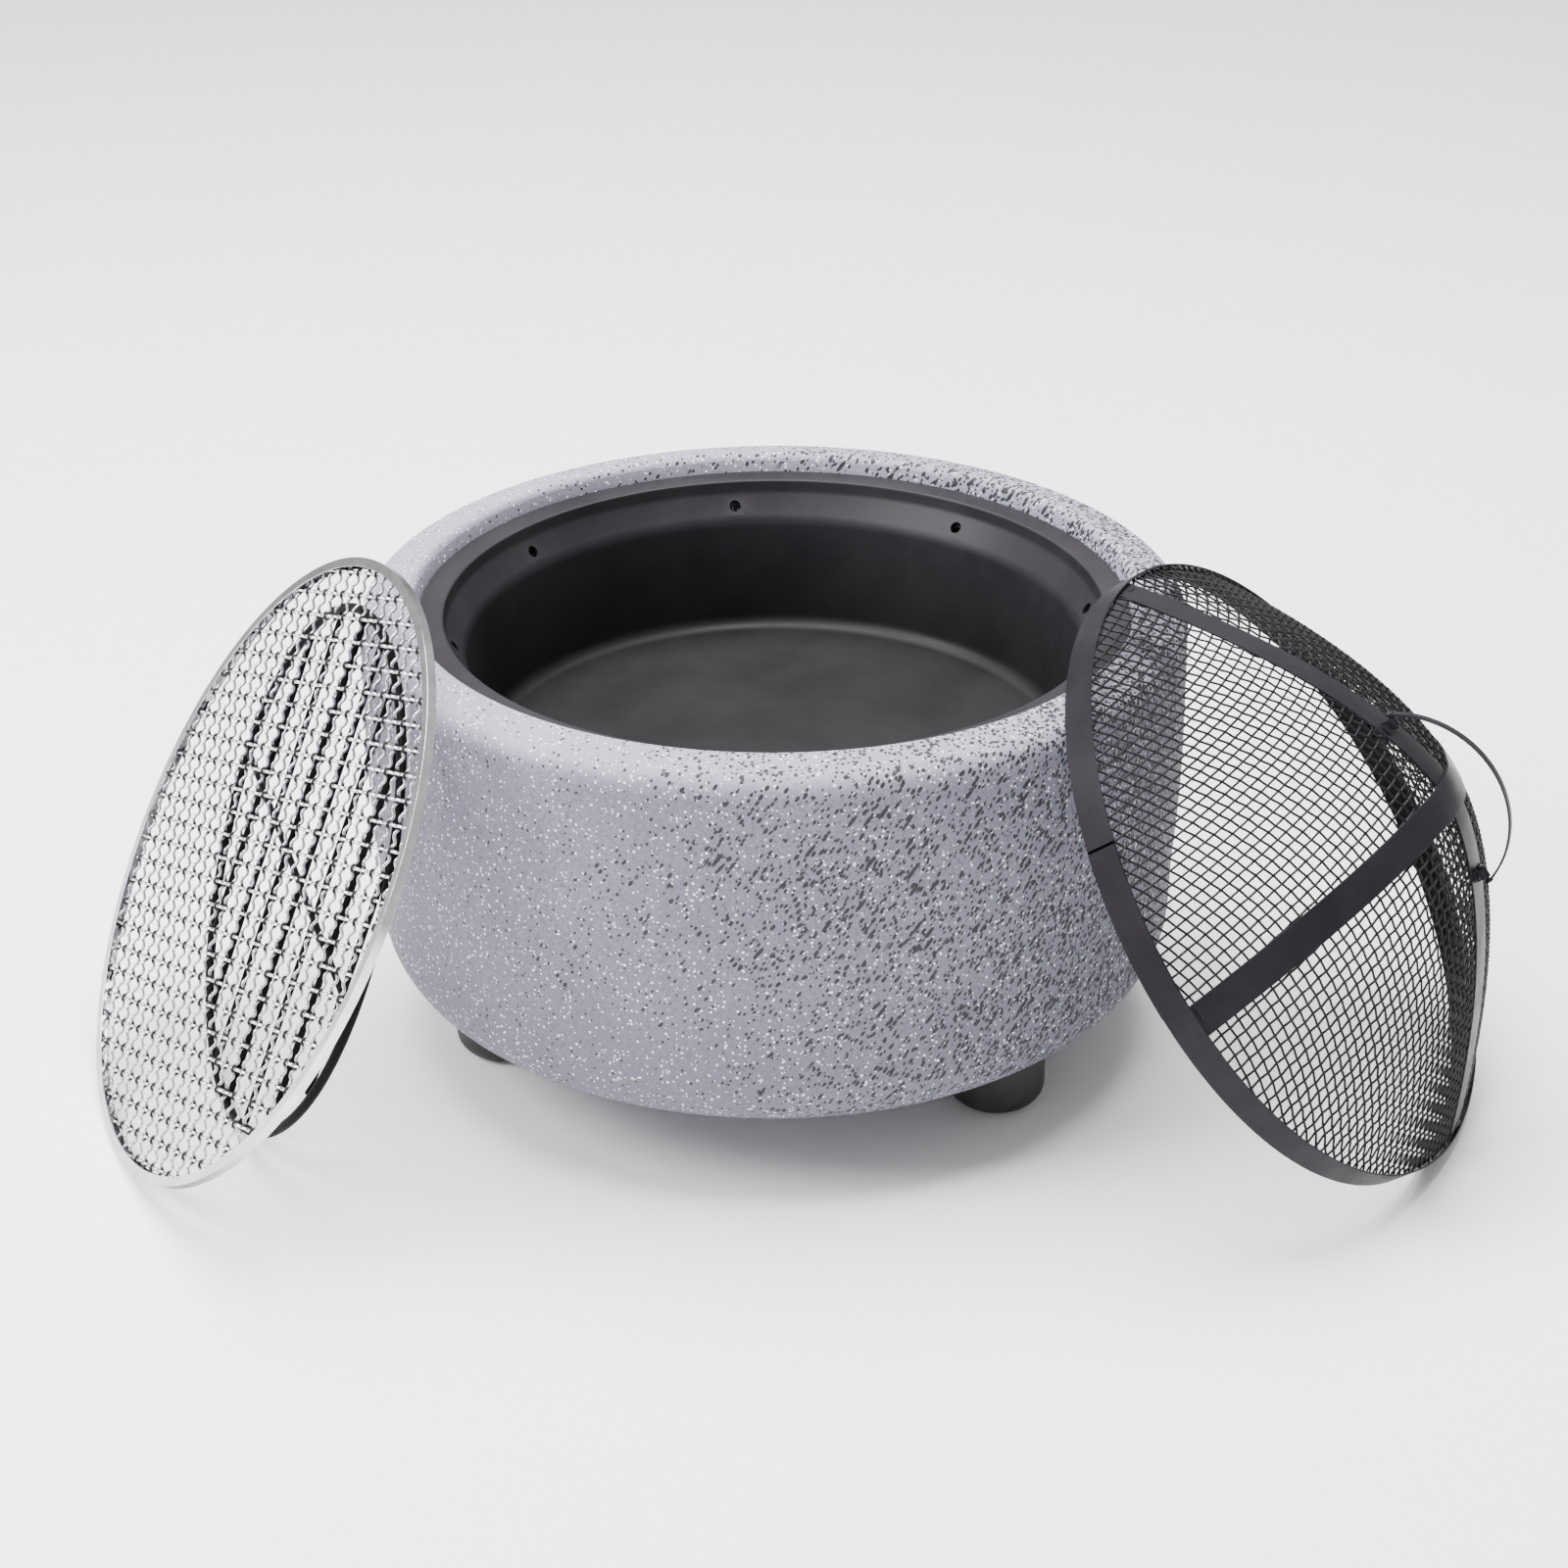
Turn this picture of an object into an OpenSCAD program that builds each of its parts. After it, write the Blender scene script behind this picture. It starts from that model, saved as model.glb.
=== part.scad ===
// Fire pit with a stone drum, a steel fire bowl, a charcoal grate, a cooking grill and a spark screen.
// Millimetres. The origin is on the drum's axis at floor level, +Z up, the front is -Y.
// The grate and the grill lean on the left of the drum and the spark screen leans on the right.

/* [Drum] */
// Outer radius of the drum at its widest
drum_r = 302.5; // [298:0.5:306]
// Height of the steel rim above the floor
rim_z = 333; // [325:1:340]
// Height of the rounded lip above the steel rim
lip_h = 13; // [10:1:20]
// Radius of the lower corner of the drum
drum_corner_r = 54; // [45:1:70]
// Radius of the opening that holds the fire bowl
cavity_r = 245; // [244:0.5:247]
// Thickness of the drum's wall
wall_t = 22; // [18:1:30]
// Radius of the drain hole in the floor of the drum
drain_r = 14; // [8:1:20]

/* [Fire bowl] */
// Outer radius of the steel rim
rim_r = 260; // [256:0.5:262]
// Radius of the inner edge of the rim
rim_inner_r = 241; // [238:0.5:242]
// Depth of the bowl below the rim
bowl_depth = 117; // [100:1:130]
// Radius of the flat bottom of the bowl
bowl_floor_r = 212; // [200:1:215]
// Sheet thickness of the bowl
bowl_t = 2; // [1.5:0.5:2]
// Diameter of a vent hole
vent_d = 9; // [7:0.5:11]
// Number of vent holes
vent_n = 8; // [6:1:12]

/* [Feet] */
// Height of a foot pad
foot_h = 58; // [50:0.5:60]
// Radius of a foot pad
foot_r = 36; // [30:1:38]
// Distance of a foot from the axis
foot_pitch_r = 216; // [205:1:220]
// Turn of the three feet about the axis
foot_turn = -41.5; // [-60:0.5:-20]

/* [Spark screen] */
// Outer radius of the rim band
screen_r = 232.5; // [228:0.5:236]
// Width of the rim band
band_w = 22; // [18:0.5:26]
// Height of the screen from its open edge to the mesh at the top
screen_h = 152.5; // [135:0.5:165]
// Lean of the screen from upright
screen_lean = 36; // [35.5:0.1:36.2]
// Direction in which the screen leans away from the drum
screen_az = -23.4; // [-30:0.1:-10]
// Distance from the axis to where the screen stands on the floor
screen_foot_r = 518; // [517:0.5:540]
// Distance of the screen's middle to the side of that direction
screen_shift = 3.5; // [0:0.5:5]
// Width of a strap
strap_w = 24; // [18:1:28]
// Sheet thickness of the straps and the band
strap_t = 1.5; // [1:0.1:2]
// Half of the distance between the ends of the handle
handle_half = 62; // [50:1:75]
// Height of the handle above its ends
handle_rise = 46; // [40:1:60]

/* [Cooking grill] */
// Outer radius of the grill
grill_r = 233; // [225:0.5:235]
// Lean of the grill from upright
grill_lean = 31.1; // [30:0.1:34]
// Distance between wires that run across
grill_row_pitch = 17.1; // [14:0.1:20]
// Distance between wires that run up
grill_col_pitch = 15.6; // [14:0.1:20]
// Diameter of a grill wire
grill_wire_d = 2.5; // [2:0.1:3]
// Direction in which the grill leans away from the drum
grill_az = -159; // [-165:0.5:-155]
// Distance of the grill's middle to the side of that direction
grill_shift = 16; // [0:0.5:20]
// Turn of the grill in its own plane
grill_turn = 21.4; // [0:0.1:30]

/* [Charcoal grate] */
// Radius of the ring at the middle of its wire
grate_r = 191.5; // [190:0.5:200]
// Diameter of the ring wire
grate_ring_d = 7; // [5:0.5:8]
// Diameter of a bar
grate_bar_d = 5; // [4:0.5:6]
// Distance between bars
grate_pitch = 49.5; // [45:0.5:52]
// Distance of the middle bar from the middle of the ring
grate_bar_shift = 12; // [-15:0.5:15]
// Number of bars
grate_bars_n = 7; // [5:2:7]
// Lean of the grate from upright
grate_lean = 21.1; // [20:0.1:24]
// Direction in which the grate leans away from the drum
grate_az = -161; // [-165:0.5:-155]
// Distance of the grate's middle to the side of that direction
grate_shift = 6.5; // [0:0.5:25]
// Turn of the grate in its own plane
grate_turn = -0.5; // [-10:0.5:15]
// Turn of the cross bar from square to the bars
grate_cross_turn = -2.5; // [-5:0.5:5]

/* [Hidden] */
$fn = 96;

gap = 0.5;
// the stone drum
lip_corner_r = 14;
lip_corner_c = drum_r - 1 - lip_corner_r;
lip_corner_z = rim_z - 4;
side_bulge_r = 1115;
side_mid_z = 242;
drum_floor_t = 24;
lip_t = 30;
// the foot fixings
screw_r = 3;
screw_head_r = 6.5;
screw_head_h = 3.5;
screw_head_z = 12;
insert_r = 5.5;
insert_l = 16;
screw_l = foot_h - screw_head_z + 14;
// the spark screen
band_t = 1.2;
mesh_t = 1;
mesh_base_z = band_w - 5;
mesh_base_r = screen_r - band_t - 0.3;
mesh_power = 1.61;
strap_gap = 0.1;
strap_h = strap_t * 1.1;
crossing_h = strap_h + strap_gap;
strap_turn = -2;
cross_turn = 3;
strap_steps = 28;
screen_z = screen_r * cos(screen_lean);
screen_x = screen_foot_r - screen_r * sin(screen_lean);
handle_w = 5;
handle_t = 1.5;
handle_pin_r = 1.5;
clip_w = 18;
clip_l = 7;
clip_slope = 23;
clip_base_d = 5.5 * cos(clip_slope);
// the cooking grill
grill_rim_w = 7;
grill_rim_h = 7;
grill_rim_t = 0.8;
// the charcoal grate leans on the lip of the drum
grate_z = grate_r * cos(grate_lean) + grate_ring_d / 2;
grate_x = lip_corner_c + (lip_corner_z - grate_z) * tan(grate_lean)
  + (lip_corner_r + grate_ring_d / 2 + gap) / cos(grate_lean);
// the grill leans on the top of the grate
grate_n = outward(grate_az, grate_lean);
grill_n = outward(grill_az, grill_lean);
grate_c = middle(grate_az, grate_x, grate_shift, grate_z);
grill_z = grill_r * cos(grill_lean) + grill_rim_h / 2 * sin(grill_lean);
grill_reach = grill_n * grate_c + grate_r * sqrt(1 - pow(grill_n * grate_n, 2))
  + grate_ring_d / 2 + grill_wire_d + gap;
grill_x = (grill_reach - grill_z * sin(grill_lean)) / cos(grill_lean);

// Outward normal of a leaning piece
function outward(az, tilt) = [cos(az) * cos(tilt), sin(az) * cos(tilt), sin(tilt)];

// Middle of a leaning piece
function middle(az, x, shift, z) =
  [x * cos(az) - shift * sin(az), x * sin(az) + shift * cos(az), z];

function arc(cx, cz, r, a0, a1, n) =
  [for (i = [0 : n]) let (a = a0 + (a1 - a0) * i / n) [cx + r * cos(a), cz + r * sin(a)]];

// Height of the wire dome at distance r from its axis
function dome_z(r) =
  mesh_base_z + (screen_h - mesh_base_z) * (1 - pow(r / mesh_base_r, mesh_power));

// Extra height of the strap that crosses over the other one
function crossing_lift(r) =
  r < strap_w / 2 + 14 ? crossing_h
    : r < strap_w / 2 + 34 ? crossing_h * (strap_w / 2 + 34 - r) / 20 : 0;

// A leaning piece: its own z is the outward normal and its own y runs up the slope
module lean(az, tilt, x, shift, z) {
  rotate([0, 0, az])
    translate([x, shift, z])
      rotate([0, 90 - tilt, 0])
        rotate([0, 0, 90])
          children();
}

module on_screen() {
  lean(screen_az, screen_lean, screen_x, screen_shift, screen_z)
    rotate([0, 0, strap_turn])
      children();
}

module at_foot(i) {
  rotate([0, 0, foot_turn + 120 * i])
    translate([foot_pitch_r, 0, 0])
      children();
}

module drum_outline() {
  side_c = drum_r - side_bulge_r;
  corner_c = drum_r - 5 - drum_corner_r;
  corner_z = foot_h + drum_corner_r * sin(70);
  inner_r = drum_r - wall_t;
  polygon(concat(
    [[drain_r, foot_h + drum_floor_t], [drain_r, foot_h]],
    arc(corner_c, corner_z, drum_corner_r, -70, 0, 14),
    arc(side_c, side_mid_z, side_bulge_r, -5, 1, 7),
    arc(lip_corner_c, lip_corner_z, lip_corner_r, 1, 69, 9),
    arc(rim_r + 10, rim_z + lip_h - 7, 7, 80, 180, 8),
    [[rim_r + 1, rim_z], [rim_r + 1, rim_z - bowl_t]],
    [[cavity_r, rim_z - bowl_t], [cavity_r, rim_z - lip_t], [inner_r - 15, rim_z - lip_t - 12]],
    [[inner_r - 2, rim_z - lip_t - 32], [inner_r, side_mid_z], [inner_r - 4, corner_z + 10]],
    arc(inner_r - 4 - drum_corner_r + wall_t, corner_z + 6, drum_corner_r - wall_t, 0, -90, 6)
  ));
}

module stone_shell() {
  color("lightsteelblue")
    difference() {
      rotate_extrude() drum_outline();
      for (i = [0 : 2])
        at_foot(i)
          translate([0, 0, foot_h - 1])
            cylinder(h = insert_l + 7, r = insert_r);
    }
}

module bowl_outline() {
  t = bowl_t;
  z0 = rim_z;
  floor_z = rim_z - bowl_depth;
  bend = 10;
  polygon(concat(
    [[rim_r, z0], [rim_inner_r + 2, z0], [rim_inner_r + 0.6, z0 - 0.6], [rim_inner_r, z0 - 2]],
    [[rim_inner_r, z0 - 8], [rim_inner_r - 1.5, z0 - 11]],
    [[rim_inner_r - 12, z0 - 24], [rim_inner_r - 14.5, z0 - 28], [rim_inner_r - 15.5, z0 - 33]],
    arc(bowl_floor_r - 1, floor_z + bend, bend, 5, -90, 8),
    [[0, floor_z], [0, floor_z - t]],
    arc(bowl_floor_r - 1, floor_z + bend, bend + t, -90, 5, 8),
    [[rim_inner_r - 15.5 + t, z0 - 33], [rim_inner_r - 12.7 + t, z0 - 29.2]],
    [[rim_inner_r - 10.4 + t, z0 - 25.2], [rim_inner_r + t, z0 - 11.6]],
    [[rim_inner_r + t, z0 - t], [rim_r, z0 - t]]
  ));
}

module fire_bowl() {
  color("dimgray")
    difference() {
      rotate_extrude() bowl_outline();
      for (i = [0 : vent_n - 1])
        rotate([0, 0, 187.7 - 360 / vent_n * i])
          translate([rim_inner_r - 7.2, 0, rim_z - 18])
            rotate([0, -40, 0])
              cylinder(h = 12, d = vent_d, center = true);
    }
}

module foot_pad(i) {
  edge = 16;
  color([0.08, 0.08, 0.08])
    at_foot(i)
      rotate_extrude()
        polygon(concat(
          [[screw_head_r + 1, 0]],
          arc(foot_r - edge, edge, edge, -90, 0, 8),
          [[foot_r, foot_h], [screw_r + 0.3, foot_h], [screw_r + 0.3, screw_head_z]],
          [[screw_head_r + 1, screw_head_z]]
        ));
}

module foot_screw(i) {
  color("silver")
    at_foot(i)
      difference() {
        union() {
          translate([0, 0, screw_head_z - screw_head_h])
            cylinder(h = screw_head_h, r = screw_head_r);
          translate([0, 0, screw_head_z - 1])
            cylinder(h = screw_l, r = screw_r);
        }
        translate([0, 0, screw_head_z - screw_head_h - 1])
          cylinder(h = 3, d = 5 / cos(30), $fn = 6);
      }
}

module foot_insert(i) {
  color("goldenrod")
    at_foot(i)
      translate([0, 0, foot_h])
        difference() {
          cylinder(h = insert_l, r = insert_r);
          translate([0, 0, -1])
            cylinder(h = insert_l + 2, r = screw_r);
        }
}

module screen_rim_band() {
  color([0.2, 0.19, 0.2])
    on_screen()
      rotate_extrude()
        translate([screen_r - band_t, 0])
          square([band_t, band_w]);
}

module screen_mesh() {
  radii = [for (i = [0 : strap_steps]) mesh_base_r * i / strap_steps];
  top = [for (r = radii) [r, dome_z(r) + mesh_t / 2]];
  under = [for (i = [strap_steps : -1 : 0]) [radii[i], dome_z(radii[i]) - mesh_t / 2]];
  color([0.1, 0.1, 0.1])
    on_screen()
      rotate_extrude()
        polygon(concat(
          top,
          [[mesh_base_r, 5], [mesh_base_r - mesh_t, 5], [mesh_base_r - mesh_t, mesh_base_z - 1]],
          [for (p = under) if (p[0] < mesh_base_r - mesh_t) p]
        ));
}

module strap(turn, lifted) {
  base = mesh_t / 2 + strap_gap;
  last_r = mesh_base_r - 0.3;
  radii = [for (i = [0 : strap_steps]) last_r * i / strap_steps];
  function lift(r) = lifted ? crossing_lift(r) : 0;
  under = [for (r = radii) [r, dome_z(r) + base + lift(r)]];
  over = [for (i = [strap_steps : -1 : 0])
    [radii[i], dome_z(radii[i]) + base + lift(radii[i]) + strap_h]];
  color([0.2, 0.19, 0.2])
    on_screen()
      rotate([0, 0, turn])
        intersection() {
          rotate_extrude()
            polygon(concat(under, over));
          translate([-300, -strap_w / 2, 0])
            cube([600, strap_w, 200]);
        }
}

module screen_strap_upper() {
  strap(cross_turn, true);
}

module screen_strap_lower() {
  strap(90, false);
}

// The pivots of the handle lie on one line along the lower strap
clip_base_z = dome_z(handle_half) + mesh_t / 2 + strap_gap + strap_h;
pin_z = clip_base_z + 5.5;

module handle_clip(side) {
  inner = handle_pin_r + 0.05;
  outer = inner + 1.4;
  color("dimgray")
    on_screen()
      rotate([0, 0, 90])
        translate([side * handle_half, 0, pin_z]) {
          difference() {
            translate([-clip_l / 2, 0, 0])
              rotate([90, 0, 90])
                linear_extrude(clip_l)
                  difference() {
                    union() {
                      circle(outer);
                      translate([-outer, -9]) square([outer * 2, 9]);
                    }
                    circle(inner);
                  }
            rotate([0, side * clip_slope, 0])
              translate([-20, -20, -20 - clip_base_d])
                cube([40, 40, 20]);
          }
          rotate([0, side * clip_slope, 0])
            for (y = [-clip_w / 2, outer - 0.5])
              translate([-clip_l / 2, y, -clip_base_d])
                cube([clip_l, clip_w / 2 - outer + 0.5, 1.4]);
        }
}

module handle_clip_top() {
  handle_clip(1);
}

module handle_clip_floor() {
  handle_clip(-1);
}

module handle() {
  end_x = handle_half + clip_l / 2 + 4;
  bow_r = (end_x * end_x + handle_rise * handle_rise) / (2 * handle_rise);
  bow_z = pin_z + handle_rise - bow_r;
  end_a = asin((bow_r - handle_rise - handle_pin_r) / bow_r);
  color([0.25, 0.24, 0.25])
    on_screen()
      rotate([0, 0, 90]) {
        translate([0, handle_w / 2, bow_z])
          rotate([90, 0, 0])
            rotate([0, 0, end_a])
              rotate_extrude(angle = 180 - 2 * end_a)
                translate([bow_r - handle_t, 0])
                  square([handle_t, handle_w]);
        for (side = [-1, 1])
          translate([side * handle_half, 0, pin_z])
            rotate([0, side * 90, 0])
              translate([0, 0, -clip_l / 2 - 1.5])
                cylinder(h = end_x - handle_half + clip_l / 2 + 1, r = handle_pin_r);
      }
}

module on_grill() {
  lean(grill_az, grill_lean, grill_x, grill_shift, grill_z)
    rotate([0, 0, grill_turn])
      children();
}

module grill_rim() {
  t = grill_rim_t;
  color("silver")
    on_grill()
      rotate_extrude()
        translate([grill_r - grill_rim_w, -grill_rim_h / 2])
          difference() {
            square([grill_rim_w, grill_rim_h]);
            translate([-1, t]) square([grill_rim_w + 1 - t, grill_rim_h - 2 * t]);
          }
}

// Parallel wires that fill a disc, along x, in a layer at height z
module wire_layer(pitch, d, r, z) {
  count = floor(r / pitch - 0.2);
  for (i = [-count : count]) {
    half = sqrt(r * r - pow(i * pitch, 2));
    translate([-half, i * pitch, z])
      rotate([0, 90, 0])
        cylinder(h = half * 2, d = d, $fn = 24);
  }
}

module grill_weft_wires() {
  color("gainsboro")
    on_grill()
      wire_layer(grill_row_pitch, grill_wire_d, grill_r - grill_rim_t - 1, grill_wire_d / 2);
}

module grill_warp_wires() {
  color("gainsboro")
    on_grill()
      rotate([0, 0, 90])
        wire_layer(grill_col_pitch, grill_wire_d, grill_r - grill_rim_t - 1, -grill_wire_d / 2);
}

module on_grate() {
  lean(grate_az, grate_lean, grate_x, grate_shift, grate_z)
    rotate([0, 0, grate_turn])
      children();
}

module grate_ring() {
  color([0.12, 0.12, 0.12])
    on_grate()
      rotate_extrude()
        translate([grate_r, 0])
          circle(d = grate_ring_d, $fn = 32);
}

module grate_bars() {
  inner = grate_r - grate_ring_d / 2 - 0.02;
  color([0.12, 0.12, 0.12])
    on_grate()
      for (i = [-(grate_bars_n - 1) / 2 : (grate_bars_n - 1) / 2]) {
        x = i * grate_pitch + grate_bar_shift;
        half = sqrt(inner * inner - pow(abs(x) + grate_bar_d / 2, 2));
        translate([x, -half, 0])
          rotate([-90, 0, 0])
            cylinder(h = half * 2, d = grate_bar_d, $fn = 32);
      }
}

module grate_cross_bar() {
  half = grate_r - 2.6;
  color([0.12, 0.12, 0.12])
    on_grate()
      rotate([0, 0, grate_cross_turn])
        translate([-half, 0, grate_bar_d + 0.02])
          rotate([0, 90, 0])
            cylinder(h = half * 2, d = grate_bar_d, $fn = 32);
}

stone_shell();
fire_bowl();
foot_pad(0);  // foot_right
foot_pad(2);  // foot_left
foot_pad(1);  // foot_back
foot_screw(0);  // foot_screw_right
foot_screw(2);  // foot_screw_left
foot_screw(1);  // foot_screw_back
foot_insert(0);  // foot_insert_right
foot_insert(2);  // foot_insert_left
foot_insert(1);  // foot_insert_back
screen_rim_band();
screen_mesh();
screen_strap_upper();
screen_strap_lower();
handle_clip_top();
handle_clip_floor();
handle();
grill_rim();
grill_warp_wires();
grill_weft_wires();
grate_ring();
grate_bars();
grate_cross_bar();
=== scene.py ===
"""The looks of the fire pit: stone drum, steel bowl, charcoal grate, woven grill and mesh spark screen."""

import math

import bpy
import bmesh
import numpy as np
from mathutils import Matrix, Vector


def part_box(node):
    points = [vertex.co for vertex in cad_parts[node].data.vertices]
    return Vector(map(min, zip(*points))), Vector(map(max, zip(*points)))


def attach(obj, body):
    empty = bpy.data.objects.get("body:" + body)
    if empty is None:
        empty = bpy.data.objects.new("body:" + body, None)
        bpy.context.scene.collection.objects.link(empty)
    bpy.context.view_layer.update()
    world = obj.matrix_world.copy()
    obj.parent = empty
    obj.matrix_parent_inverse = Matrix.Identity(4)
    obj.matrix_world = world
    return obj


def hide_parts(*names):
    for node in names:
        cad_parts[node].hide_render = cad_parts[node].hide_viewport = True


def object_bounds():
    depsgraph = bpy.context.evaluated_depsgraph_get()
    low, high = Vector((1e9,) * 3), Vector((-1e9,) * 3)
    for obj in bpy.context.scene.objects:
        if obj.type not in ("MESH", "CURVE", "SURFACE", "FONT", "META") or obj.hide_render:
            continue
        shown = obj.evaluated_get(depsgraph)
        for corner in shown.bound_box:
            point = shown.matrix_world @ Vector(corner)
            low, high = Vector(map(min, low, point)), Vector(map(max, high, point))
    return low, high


MM = 0.001

CAMERA_AT = (0.00676, -2.29331, 1.35994)
CAMERA_DOWN, CAMERA_ROLL = 27.12, -0.20  # degrees
LENS, SENSOR = 78.75, 36.0  # mm

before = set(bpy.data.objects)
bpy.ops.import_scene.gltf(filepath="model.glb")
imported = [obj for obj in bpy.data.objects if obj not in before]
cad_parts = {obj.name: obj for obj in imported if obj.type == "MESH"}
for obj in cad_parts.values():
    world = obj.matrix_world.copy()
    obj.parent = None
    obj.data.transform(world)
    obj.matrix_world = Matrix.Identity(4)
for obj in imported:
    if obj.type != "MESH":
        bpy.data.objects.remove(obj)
cad_lo, cad_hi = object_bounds()
scene = bpy.context.scene


# ---------------------------------------------------------------- camera
def make_camera():
    data = bpy.data.cameras.new("camera")
    data.lens, data.sensor_width = LENS, SENSOR
    data.clip_start, data.clip_end = 0.05, 60.0
    cam = bpy.data.objects.new("camera", data)
    scene.collection.objects.link(cam)
    cam.location = CAMERA_AT
    cam.rotation_euler = (math.radians(90 - CAMERA_DOWN), 0.0, 0.0)
    turn = Matrix.Rotation(math.radians(CAMERA_ROLL), 3, "Z")
    cam.rotation_euler = (cam.rotation_euler.to_matrix() @ turn).to_euler()
    scene.camera = cam


make_camera()


# ---------------------------------------------------------------- material helpers
class Nodes:
    """Short names for building one procedural material."""

    def __init__(self, name):
        self.mat = bpy.data.materials.new(name)
        self.mat.use_nodes = True
        self.tree = self.mat.node_tree
        self.tree.nodes.clear()
        out = self.add("ShaderNodeOutputMaterial")
        self.bsdf = self.add("ShaderNodeBsdfPrincipled")
        self.link(self.bsdf.outputs["BSDF"], out.inputs["Surface"])
        self.where = self.add("ShaderNodeTexCoord").outputs["Object"]

    def add(self, kind, **values):
        node = self.tree.nodes.new(kind)
        for key, value in values.items():
            setattr(node, key, value)
        return node

    def link(self, a, b):
        self.tree.links.new(a, b)

    def put(self, socket, value):
        if isinstance(value, bpy.types.NodeSocket):
            self.link(value, socket)
        elif socket.type == "RGBA" and len(value) == 3:
            socket.default_value = (*value, 1.0)
        else:
            socket.default_value = value

    def noise(self, scale, detail=3.0, rough=0.5):
        n = self.add("ShaderNodeTexNoise")
        self.put(n.inputs["Vector"], self.where)
        self.put(n.inputs["Scale"], scale)
        self.put(n.inputs["Detail"], detail)
        self.put(n.inputs["Roughness"], rough)
        return n.outputs["Fac"]

    def cells(self, scale, where):
        """The distance to the middle of the nearest cell, and a random colour for each cell."""
        n = self.add("ShaderNodeTexVoronoi")
        self.put(n.inputs["Vector"], where)
        self.put(n.inputs["Scale"], scale)
        return n.outputs["Distance"], n.outputs["Color"]

    def math(self, how, a, b=0.0):
        n = self.add("ShaderNodeMath", operation=how)
        self.put(n.inputs[0], a)
        self.put(n.inputs[1], b)
        return n.outputs[0]

    def plus(self, a, b):
        return self.math("ADD", a, b)

    def minus(self, a, b):
        return self.math("SUBTRACT", a, b)

    def times(self, a, b):
        return self.math("MULTIPLY", a, b)

    def length(self, a, b):
        return self.math("SQRT", self.plus(self.times(a, a), self.times(b, b)))

    def step(self, value, low, high, out_low=0.0, out_high=1.0):
        n = self.add("ShaderNodeMapRange", interpolation_type="SMOOTHSTEP")
        for socket, v in zip(n.inputs, (value, low, high, out_low, out_high)):
            self.put(socket, v)
        return n.outputs[0]

    def mix(self, fac, a, b):
        n = self.add("ShaderNodeMix", data_type="RGBA")
        self.put(n.inputs["Factor"], fac)
        colours = [s for s in n.inputs if s.type == "RGBA"]
        self.put(colours[0], a)
        self.put(colours[1], b)
        return next(s for s in n.outputs if s.type == "RGBA")

    def split(self, vector):
        n = self.add("ShaderNodeSeparateXYZ")
        self.put(n.inputs[0], vector)
        return n.outputs

    def mapped(self, scale=(1, 1, 1), turn=(0, 0, 0), shift=(0, 0, 0)):
        """Coordinates for a pattern that is first stretched by scale and then turned."""
        n = self.add("ShaderNodeMapping", vector_type="TEXTURE")
        self.put(n.inputs["Vector"], self.where)
        self.put(n.inputs["Scale"], scale)
        self.put(n.inputs["Rotation"], [math.radians(t) for t in turn])
        self.put(n.inputs["Location"], shift)
        return n.outputs[0]

    def bump(self, height, depth, strength):
        n = self.add("ShaderNodeBump")
        self.put(n.inputs["Height"], height)
        self.put(n.inputs["Distance"], depth)
        self.put(n.inputs["Strength"], strength)
        return n.outputs["Normal"]

    def finish(self, colour, rough, metal=0.0, normal=None, **more):
        self.put(self.bsdf.inputs["Base Color"], colour)
        self.put(self.bsdf.inputs["Roughness"], rough)
        self.put(self.bsdf.inputs["Metallic"], metal)
        if normal:
            self.link(normal, self.bsdf.inputs["Normal"])
        for key, value in more.items():
            self.put(self.bsdf.inputs[key.replace("_", " ")], value)
        return self.mat


def stone_ground_painted_light(m, grain, z):
    """The ground colour, with painted shade making it a little darker at the base and a painted highlight
    making it lighter on the lip.
    """
    lip_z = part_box("stone_shell")[1].z
    cloud = m.noise(9, 4, 0.55)
    base = m.mix(m.step(cloud, 0.3, 0.7), (0.154, 0.151, 0.208), (0.188, 0.185, 0.246))
    base = m.mix(m.step(grain, 0.32, 0.60), (0.090, 0.089, 0.122), base)
    # painted shade: the colour darkens towards the base of the drum
    base = m.mix(m.step(z, 0.06, lip_z - 0.10, 0.46, 0.0), base, (0.09, 0.088, 0.12))
    # painted highlight: the colour lightens near the top of the lip
    return m.mix(m.step(z, lip_z - 0.024, lip_z - 0.006, 0.0, 0.45), base, (0.36, 0.355, 0.43))


def white_chips(m):
    """1 on a white chip. Each layer is (cells per metre, radius, share of the cells left empty)."""
    chips = 0.0
    for scale, radius, empty in ((205, 0.21, 0.36), (300, 0.21, 0.50)):
        distance, random = m.cells(scale, m.mapped(shift=(scale * 0.01, 0, 0)))
        disc = m.step(distance, radius - 0.04, radius + 0.02, 1.0, 0.0)
        chosen = m.step(m.split(random)[0], empty, empty + 0.03)
        chips = m.math("MAXIMUM", chips, m.times(disc, chosen))
    return chips


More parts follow.
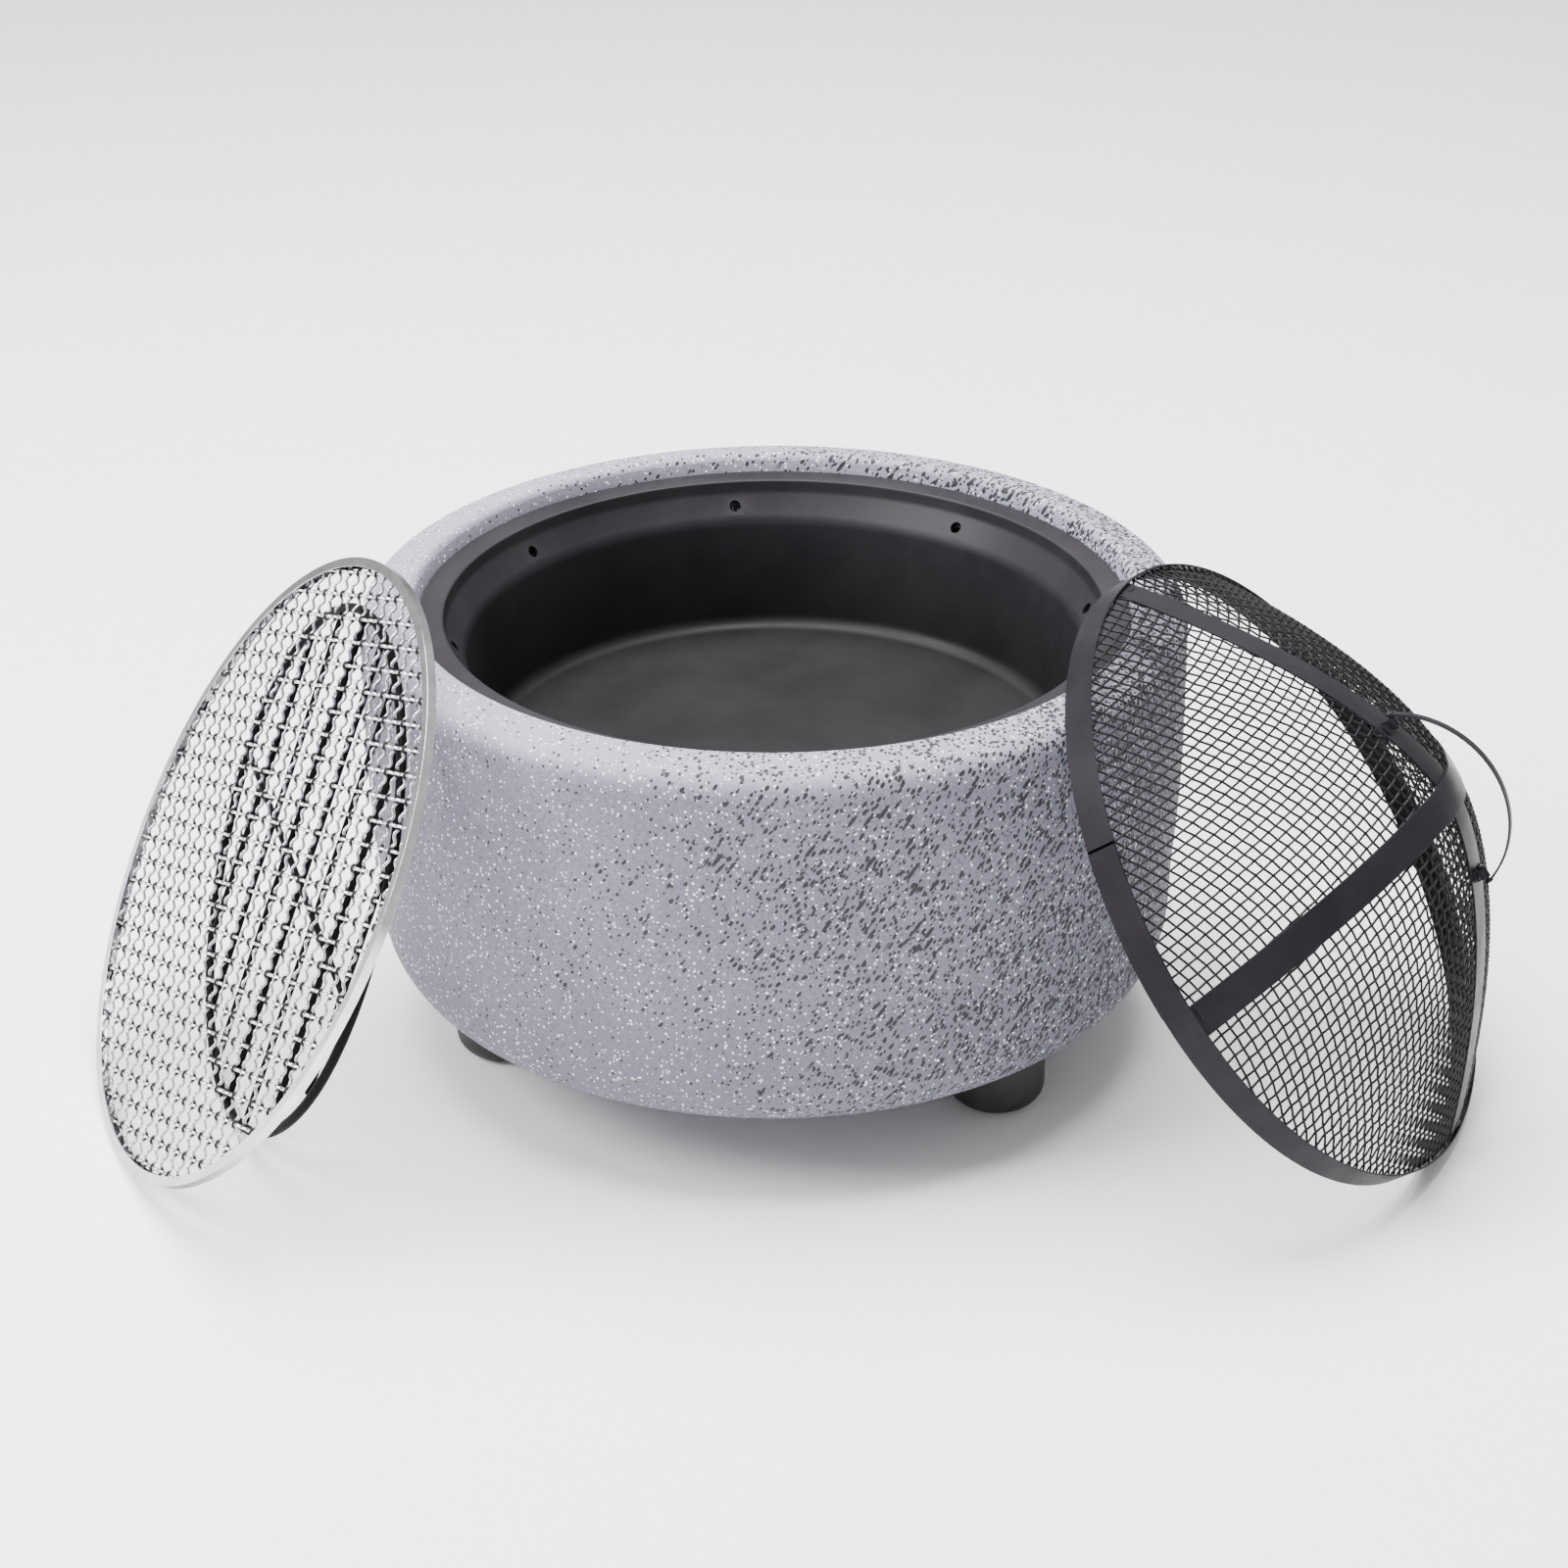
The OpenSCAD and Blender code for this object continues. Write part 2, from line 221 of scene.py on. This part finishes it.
def dark_chips(m, x, z):
    """1 on a dark chip: round ones everywhere, and long ones that lean where they crowd, up and right.

    Each layer is (cells per metre, stretch, radius, turn, share of the cells used, gain by crowding).
    """
    patch = m.times(m.minus(m.noise(6, 3, 0.6), 0.5), 1.2)
    crowding = m.plus(m.plus(m.times(x, 2.4), patch), m.times(m.minus(z, 0.2), 0.4))
    chips = 0.0
    for scale, stretch, radius, turn, share, gain in (
        (240, (1.0, 1.0, 1.2), 0.23, 10, 0.44, 0.3),
        (250, (1.0, 1.2, 2.0), 0.34, 34, 0.30, 1.0),
        (330, (1.0, 1.2, 1.7), 0.34, 30, 0.34, 1.0),
        (205, (1.0, 1.4, 4.2), 0.31, 37, 0.05, 0.7),
    ):
        leaned = m.mapped(scale=stretch, turn=(0, turn, 0), shift=(0, scale * 0.013, 0))
        distance, random = m.cells(scale, leaned)
        disc = m.step(distance, radius - 0.05, radius + 0.03, 1.0, 0.0)
        crowd = m.minus(m.plus(m.times(crowding, gain), share), m.split(random)[0])
        chips = m.math("MAXIMUM", chips, m.times(disc, m.step(crowd, -0.02, 0.02)))
    return chips


def stone_material():
    """Cast stone with white chips and dark chips."""
    m = Nodes("stone")
    grain = m.noise(430, 3, 0.75)
    x, _, z = m.split(m.where)
    white, dark = white_chips(m), dark_chips(m, x, z)
    colour = m.mix(m.times(white, 0.95), stone_ground_painted_light(m, grain, z), (0.86, 0.86, 0.90))
    colour = m.mix(m.times(dark, 0.97), colour, (0.004, 0.004, 0.006))
    height = m.plus(m.minus(m.times(white, 0.3), dark), m.times(grain, 0.6))
    rough = m.step(grain, 0.3, 0.7, 0.62, 0.82)
    return m.finish(colour, rough, 0.0, m.bump(height, 0.0006, 0.8))


def metal_material(name, dark, light, rough, metal=0.0, cloud=14, shine=0.5, edge=1.0):
    """Painted or bare metal with faint clouds. Its edge is how bright it is at a glancing angle."""
    m = Nodes(name)
    colour = m.mix(m.step(m.noise(cloud, 5, 0.6), 0.3, 0.72), dark, light)
    roughness = m.step(m.noise(cloud * 3, 4, 0.6), 0.25, 0.75, rough - 0.06, rough + 0.08)
    normal = m.bump(m.noise(420, 3, 0.6), 0.00012, 0.5)
    tint = (edge, edge, edge)
    return m.finish(colour, roughness, metal, normal, Specular_IOR_Level=shine, Specular_Tint=tint)


CHROME_EDGE = 0.35


def woven_chrome_material(matrix, col, row):
    """Chrome wires with painted shade and a painted dark reflection where they cross the other wires."""
    m = Nodes("woven chrome with painted crossing shade")
    turn = [math.degrees(t) for t in matrix.to_euler()]
    x, y, _ = m.split(m.mapped(turn=turn, shift=matrix.translation))
    away = m.length(m.math("PINGPONG", x, col / 2 * MM), m.math("PINGPONG", y, row / 2 * MM))
    # painted shade and painted dark reflection: the colour goes nearly black near each crossing
    crossing_painted_shade = m.step(away, 0.0024, 0.0042, 0.96, 0.0)
    plating = m.mix(m.step(m.noise(40, 4, 0.6), 0.3, 0.7), (0.56, 0.56, 0.58), (0.74, 0.74, 0.76))
    colour = m.mix(crossing_painted_shade, plating, (0.012, 0.012, 0.014))
    rough = m.step(away, 0.001, 0.004, 0.45, 0.17)
    tint = (CHROME_EDGE, CHROME_EDGE, CHROME_EDGE)
    return m.finish(colour, rough, 1.0, m.bump(m.noise(420), 0.00012, 0.5), Specular_Tint=tint)


def bowl_material():
    """Sooty steel, darker on the floor of the bowl than on the upper wall, with a smoother rim."""
    m = Nodes("bowl steel")
    spots = m.noise(11, 5, 0.62)
    cloud = m.step(spots, 0.3, 0.7)
    x, y, z = m.split(m.where)
    rim_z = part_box("fire_bowl")[1].z
    floor = m.mix(cloud, (0.0050, 0.0044, 0.0054), (0.0085, 0.0074, 0.0088))
    upper = m.mix(cloud, (0.0120, 0.0104, 0.0132), (0.0170, 0.0148, 0.0180))
    colour = m.mix(m.step(z, rim_z - 0.117, rim_z - 0.03), floor, upper)
    soot = m.times(m.step(m.noise(38, 5, 0.7), 0.48, 0.72), 0.2)
    colour = m.mix(soot, colour, (0.005, 0.005, 0.006))
    smoother = m.times(m.step(m.length(x, y), 0.2, 0.236), 0.06)
    rough = m.minus(m.step(spots, 0.25, 0.75, 0.50, 0.62), smoother)
    normal = m.bump(m.noise(650, 3, 0.6), 0.00014, 0.45)
    return m.finish(colour, rough, 0.15, normal, Specular_IOR_Level=0.24)


def rubber_material():
    m = Nodes("foot rubber")
    grime = m.noise(60, 4, 0.6)
    colour = m.mix(m.step(grime, 0.35, 0.7), (0.010, 0.010, 0.010), (0.030, 0.029, 0.028))
    return m.finish(colour, m.step(grime, 0.3, 0.7, 0.55, 0.78), 0.0, m.bump(m.noise(900), 0.0002, 0.6))


def floor_material():
    m = Nodes("floor")
    colour = m.mix(m.noise(2.5, 3, 0.5), (0.93, 0.93, 0.935), (0.965, 0.965, 0.965))
    return m.finish(colour, 0.7)


STONE = stone_material()
BOWL = bowl_material()
RUBBER = rubber_material()
FLOOR = floor_material()
PAINT = metal_material("screen paint", (0.0075, 0.0064, 0.0088), (0.014, 0.0122, 0.0155), 0.40, shine=0.17)
BAND = metal_material("band paint", (0.0085, 0.0072, 0.0100), (0.016, 0.0140, 0.0175), 0.42, shine=0.08)
# painted shadow: a near-black material for the shadow line at the start of the band lap
SEAM_PAINTED_SHADOW = metal_material("seam painted shadow", (0.0006, 0.0006, 0.0007), (0.0012, 0.0011, 0.0013), 0.90, shine=0.0)
WIRE = metal_material("screen wire", (0.003, 0.003, 0.004), (0.008, 0.007, 0.009), 0.45, shine=0.2)
GRATE = metal_material("grate paint", (0.0015, 0.0014, 0.0016), (0.0040, 0.0037, 0.0042), 0.55, shine=0.05)
CHROME = metal_material(
    "chrome", (0.56, 0.56, 0.58), (0.72, 0.72, 0.74), 0.16, 1.0, cloud=40, edge=CHROME_EDGE
)
ZINC = metal_material("screw steel", (0.42, 0.42, 0.44), (0.62, 0.62, 0.64), 0.30, 1.0)
BRASS = metal_material("insert brass", (0.58, 0.42, 0.18), (0.76, 0.58, 0.28), 0.30, 1.0)


# ---------------------------------------------------------------- geometry helpers
def piece(name, mesh, body, slot, material, *replaced):
    mesh.materials.clear()
    mesh.materials.append(material)
    obj = bpy.data.objects.new(name, mesh)
    scene.collection.objects.link(obj)
    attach(obj, body)
    if replaced:
        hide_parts(*replaced)
    return obj


SAME_POINT, NO_LENGTH = 2e-6, 1e-6  # metres
SAME_FACE = 0.3  # degrees
PAD_EDGE, STRIP_EDGE, SMALL_EDGE = 0.0006, 0.0003, 0.0002  # metres


def dressed(node, body, slot, material, bevel=0.0, angle=35):
    """A node with its facets joined, smooth where they meet at less than angle, and its edges eased."""
    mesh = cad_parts[node].data.copy()
    bm = bmesh.new()
    bm.from_mesh(mesh)
    bmesh.ops.remove_doubles(bm, verts=bm.verts, dist=SAME_POINT)
    bmesh.ops.dissolve_degenerate(bm, edges=bm.edges, dist=NO_LENGTH)
    bmesh.ops.dissolve_limit(bm, angle_limit=math.radians(SAME_FACE), verts=bm.verts, edges=bm.edges)
    bm.to_mesh(mesh)
    bm.free()
    mesh.shade_smooth()
    mesh.set_sharp_from_angle(angle=math.radians(angle))
    obj = piece(node + "_look", mesh, body, slot, material, node)
    if bevel:
        mod = obj.modifiers.new("eased edges", "BEVEL")
        mod.width, mod.segments = bevel, 2
        mod.limit_method, mod.angle_limit = "ANGLE", math.radians(angle)
        mod.harden_normals = True
        mod.use_clamp_overlap = True
    return obj


def leaning(az, tilt, turn=0.0):
    """Turn of a leaning piece: its z is the outward normal and its y runs up the slope."""
    return (
        Matrix.Rotation(math.radians(az), 4, "Z")
        @ Matrix.Rotation(math.radians(90 - tilt), 4, "Y")
        @ Matrix.Rotation(math.radians(90 + turn), 4, "Z")
    )


def middle(node):
    lo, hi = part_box(node)
    return (lo + hi) / 2


def place(points, matrix):
    a = np.array(matrix)
    return points @ a[:3, :3].T + a[:3, 3]


def tubes(lines, radius, sides, matrix):
    """One mesh of round wires. Each line is (points, the direction that is up at each point), in mm."""
    a = np.arange(sides) * 2 * math.pi / sides
    verts, faces, start = [], [], 0
    for points, up in lines:
        t = np.gradient(points, axis=0)
        t /= np.linalg.norm(t, axis=1)[:, None]
        side = np.cross(t, up)
        side /= np.linalg.norm(side, axis=1)[:, None]
        top = np.cross(side, t)
        ring = points[:, None] + radius * (
            np.cos(a)[None, :, None] * top[:, None] + np.sin(a)[None, :, None] * side[:, None]
        )
        n = len(points)
        verts.append(ring.reshape(-1, 3))
        i = np.arange(n - 1)[:, None] * sides + start
        j = np.arange(sides)[None, :]
        k = (j + 1) % sides
        quads = np.stack([i + j, i + k, i + sides + k, i + sides + j], -1).reshape(-1, 4)
        faces.extend(quads.tolist())
        faces.append((np.arange(sides)[::-1] + start).tolist())
        faces.append((np.arange(sides) + start + (n - 1) * sides).tolist())
        start += n * sides
    mesh = bpy.data.meshes.new("wires")
    mesh.from_pydata(place(np.concatenate(verts) * MM, matrix).tolist(), [], faces)
    mesh.shade_smooth()
    return mesh


# ---------------------------------------------------------------- drum, bowl and feet
dressed("stone_shell", "drum", "stone", STONE, angle=40)
dressed("fire_bowl", "drum", "bowl_steel", BOWL, angle=28)
for where in ("right", "left", "back"):
    dressed(f"foot_{where}", "drum", "foot_rubber", RUBBER, PAD_EDGE)
    dressed(f"foot_screw_{where}", "drum", "screw_steel", ZINC, SMALL_EDGE)
    dressed(f"foot_insert_{where}", "drum", "insert_brass", BRASS, SMALL_EDGE)

# ---------------------------------------------------------------- spark screen
# sizes in mm, in the screen's own frame: z runs from the open edge of the band to the top of the dome
SCREEN_R, BAND_W, SCREEN_H = 232.5, 22.0, 152.5
BASE_Z, BASE_R, POWER = BAND_W - 5, SCREEN_R - 1.5, 1.61
SCREEN_AZ, SCREEN_LEAN, STRAP_TURN, MESH_TURN = -23.4, 36.0, -2.0, 7.5  # degrees
screen_turn = leaning(SCREEN_AZ, SCREEN_LEAN, STRAP_TURN)
screen_normal = screen_turn.to_3x3() @ Vector((0, 0, 1))
screen = Matrix.Translation(middle("screen_rim_band") - screen_normal * BAND_W / 2 * MM) @ screen_turn


def dome(r):
    """Height of the dome at a distance r from its middle."""
    return BASE_Z + (SCREEN_H - BASE_Z) * (1 - np.clip(r / BASE_R, 0, 1.02) ** POWER)


def dome_up(x, y):
    """Outward normal of the dome."""
    r = np.maximum(np.hypot(x, y), 1e-6)
    s = -(SCREEN_H - BASE_Z) * POWER / BASE_R * (r / BASE_R) ** (POWER - 1)
    n = np.stack([-s * x / r, -s * y / r, np.ones_like(r)], -1)
    return n / np.linalg.norm(n, axis=1)[:, None]


def screen_wires(pitch=7.9, wire_r=0.86, crimp=0.72, spread=0.12):
    """Plain weave, evenly spaced along the dome. The wires spread apart a little towards the band."""
    r = np.linspace(0, BASE_R, 400)
    s = np.concatenate([[0], np.cumsum(np.hypot(np.diff(r), np.diff(dome(r))))])
    count = int(s[-1] / pitch)
    index = np.arange(-count, count + 1)
    spots = np.interp(index * pitch, np.concatenate([-s[:0:-1], s]), np.concatenate([-r[:0:-1], r]))
    fine = np.arange(-2 * count, 2 * count + 1) / 2
    along = np.interp(fine, index, spots)
    limit = BASE_R - 0.5
    lines = []
    for turned in (0, 1):
        for k, spot in zip(index, spots):
            x = along * (1 + spread * (spot / BASE_R) ** 2)
            y = spot * (1 + spread * (along / BASE_R) ** 2)
            keep = np.hypot(x, y) < limit
            if keep.sum() < 5:
                continue
            first, last = np.flatnonzero(keep)[[0, -1]]
            phase = fine[first : last + 1]
            x, y = x[first : last + 1], y[first : last + 1]
            # the ends reach the band
            out = math.sqrt(limit**2 - min(abs(y[0]), limit) ** 2)
            x = np.concatenate([[-out], x, [out]])
            y = np.concatenate([y[:1], y, y[-1:]])
            phase = np.concatenate([phase[:1] - 0.3, phase, phase[-1:] + 0.3])
            if turned:
                x, y = y, x
            up = dome_up(x, y)
            wave = np.cos(math.pi * (phase + k + turned)) * crimp
            p = np.stack([x, y, dome(np.hypot(x, y))], -1) + up * wave[:, None]
            lines.append((p, up))
    return tubes(lines, wire_r, 6, screen @ Matrix.Rotation(math.radians(MESH_TURN), 4, "Z"))


piece("woven_mesh", screen_wires(), "spark_screen", "screen_wire", WIRE, "screen_mesh")
dressed("screen_rim_band", "spark_screen", "screen_black", BAND, STRIP_EDGE)
for strap in ("screen_strap_upper", "screen_strap_lower"):
    dressed(strap, "spark_screen", "screen_black", PAINT, STRIP_EDGE)
for clip in ("handle_clip_top", "handle_clip_floor"):
    dressed(clip, "spark_screen", "screen_black", PAINT, SMALL_EDGE)
dressed("handle", "screen_handle", "screen_black", PAINT, SMALL_EDGE)


def beads(spots, matrix, name, body, slot, material):
    """Small uneven weld beads. Each spot is (x, y, z, length, width, height, turn), in mm and degrees."""
    bm = bmesh.new()
    for x, y, z, long, wide, high, turn in spots:
        local = (
            Matrix.Translation((x * MM, y * MM, z * MM))
            @ Matrix.Rotation(math.radians(turn), 4, "Z")
            @ Matrix.Diagonal((long * MM / 2, wide * MM / 2, high * MM / 2, 1))
        )
        made = bmesh.ops.create_icosphere(bm, subdivisions=3, radius=1.0)
        for v in made["verts"]:
            v.co *= 1 + 0.10 * math.sin(5.1 * v.co.x + 1.7 * v.co.y) * math.cos(3.3 * v.co.y)
            v.co = matrix @ (local @ v.co)
    mesh = bpy.data.meshes.new(name)
    bm.to_mesh(mesh)
    bm.free()
    mesh.shade_smooth()
    return piece(name, mesh, body, slot, material)


CROSS_TURN = 3.0  # degrees by which the upper strap is off square
WELD_AT, WELD_ASIDE, WELD_Z = 226.5, 4.5, 23.0
WELD_SIZE = (3.4, 12.0, 2.8)


def strap_ends():
    """One weld at each end of the two straps, a little to one side."""
    spots = []
    for turn, side in ((180 + CROSS_TURN, 1), (CROSS_TURN, -1), (90, 1), (270, -1)):
        a = math.radians(turn)
        x, y = WELD_AT, -WELD_ASIDE * side
        at = (x * math.cos(a) - y * math.sin(a), x * math.sin(a) + y * math.cos(a), WELD_Z)
        spots.append((*at, *WELD_SIZE, turn))
    return spots


beads(strap_ends(), screen, "strap_welds", "spark_screen", "screen_black", PAINT)


def band_strip(name, first, last, lift, material):
    """A thin strip on the outside of the rim band, between two angles."""
    bm = bmesh.new()
    rows = []
    for a in np.radians(np.linspace(first, last, 24)):
        rows.append(
            [
                bm.verts.new(screen @ Vector((r * math.cos(a) * MM, r * math.sin(a) * MM, z * MM)))
                for r, z in (
                    (SCREEN_R - 0.2, 0.05),
                    (SCREEN_R + lift, 0.2),
                    (SCREEN_R + lift, BAND_W - 0.2),
                    (SCREEN_R - 0.2, BAND_W - 0.05),
                )
            ]
        )
    for low, high in zip(rows, rows[1:]):
        for k in range(4):
            bm.faces.new((low[k], low[(k + 1) % 4], high[(k + 1) % 4], high[k]))
    bm.faces.new(rows[0][::-1])
    bm.faces.new(rows[-1])
    bmesh.ops.recalc_face_normals(bm, faces=bm.faces)
    mesh = bpy.data.meshes.new(name)
    bm.to_mesh(mesh)
    bm.free()
    mesh.shade_smooth()
    mesh.set_sharp_from_angle(angle=math.radians(35))
    return piece(name, mesh, "spark_screen", "screen_black", material)


SHADOW_FROM, LAP_FROM, LAP_TO = 150.05, 150.6, 180.0  # degrees round the band
band_strip("band_lap", LAP_FROM, LAP_TO, 0.8, BAND)
# painted shadow: a thin near-black strip just before the lap stands in for the shadow of its edge
band_strip("band_lap_painted_shadow", SHADOW_FROM, LAP_FROM, 0.12, SEAM_PAINTED_SHADOW)


CLIP_AT, CURL_AT = 62.0, 68.6  # from the middle of the dome, along the lower strap
MESH_UP, STRAP_UP, PIN_UP = 0.6, 1.65, 5.5  # from the dome at the clips up to the pivots
CURL_STEPS = 28


def handle_curls():
    """The ends of the handle are rolled round its pivots."""
    pin_z = dome(CLIP_AT) + MESH_UP + STRAP_UP + PIN_UP
    lines = []
    for side in (-1, 1):
        a = np.linspace(math.radians(-60), math.radians(250), CURL_STEPS)
        radius = np.linspace(2.6, 2.1, CURL_STEPS)
        p = np.stack([radius * np.cos(a), np.full_like(a, side * CURL_AT), pin_z + radius * np.sin(a)], -1)
        lines.append((p, np.tile([0.0, 1.0, 0.0], (CURL_STEPS, 1))))
    return tubes(lines, 0.9, 8, screen)


piece("handle_curls", handle_curls(), "screen_handle", "screen_black", PAINT)

# ---------------------------------------------------------------- cooking grill
GRILL_R, ROW, COL, GRILL_WIRE = 233.0, 17.1, 15.6, 1.25
RIM_IN, CRIMP = 2.2, 1.22
GRILL_AZ, GRILL_LEAN, GRILL_TURN = -159.0, 31.1, 21.4  # degrees
POINTS_PER_CROSSING = 14
grill = Matrix.Translation(middle("grill_rim")) @ leaning(GRILL_AZ, GRILL_LEAN, GRILL_TURN)


def crimped_wires(pitch, across, turned):
    """Wires that run one way: three half waves between crossings, over one wire and under the next."""
    reach = GRILL_R - RIM_IN
    count = int(reach / pitch - 0.2)
    lines = []
    for i in range(-count, count + 1):
        half = math.sqrt(reach * reach - (i * pitch) ** 2)
        n = int(half * 2 / across * POINTS_PER_CROSSING)
        t = np.linspace(-half, half, n)
        wave = CRIMP * np.cos(3 * math.pi * t / across + math.pi * (i + turned))
        across_at = np.full_like(t, i * pitch)
        x, y = (across_at, t) if turned else (t, across_at)
        up = np.tile([0.0, 0.0, 1.0], (n, 1))
        lines.append((np.stack([x, y, wave], -1), up))
    return tubes(lines, GRILL_WIRE, 8, grill)


WOVEN = woven_chrome_material(grill, COL, ROW)
piece("crimped_weft", crimped_wires(ROW, COL, 0), "cooking_grill", "chrome", CHROME, "grill_weft_wires")
piece("crimped_warp", crimped_wires(COL, ROW, 1), "cooking_grill", "chrome", WOVEN, "grill_warp_wires")
dressed("grill_rim", "cooking_grill", "chrome", CHROME, STRIP_EDGE)

# ---------------------------------------------------------------- charcoal grate
dressed("grate_ring", "charcoal_grate", "grate_black", GRATE, angle=60)
dressed("grate_bars", "charcoal_grate", "grate_black", GRATE, angle=50)
dressed("grate_cross_bar", "charcoal_grate", "grate_black", GRATE, angle=50)

# ---------------------------------------------------------------- floor and light
def make_floor():
    bm = bmesh.new()
    bmesh.ops.create_grid(bm, x_segments=2, y_segments=2, size=14)
    mesh = bpy.data.meshes.new("floor")
    bm.to_mesh(mesh)
    bm.free()
    mesh.materials.append(FLOOR)
    obj = bpy.data.objects.new("floor", mesh)
    scene.collection.objects.link(obj)
    obj.location.z = min(cad_lo.z, 0.0) - 0.0004


def area_light(name, at, toward, size, power):
    data = bpy.data.lights.new(name, "AREA")
    data.shape, data.size, data.energy = "DISK", size, power
    obj = bpy.data.objects.new(name, data)
    scene.collection.objects.link(obj)
    obj.location = at
    obj.rotation_euler = (Vector(toward) - Vector(at)).to_track_quat("-Z", "Y").to_euler()


def white_world(strength):
    world = bpy.data.worlds.new("studio")
    scene.world = world
    world.use_nodes = True
    back = world.node_tree.nodes["Background"]
    back.inputs["Color"].default_value = (1, 1, 1, 1)
    back.inputs["Strength"].default_value = strength


make_floor()
area_light("key", (-2.4, -0.9, 2.3), (0, 0, 0.25), 1.6, 170)
area_light("top", (-0.2, 0.3, 3.4), (0, 0, 0.2), 3.0, 420)
white_world(0.80)
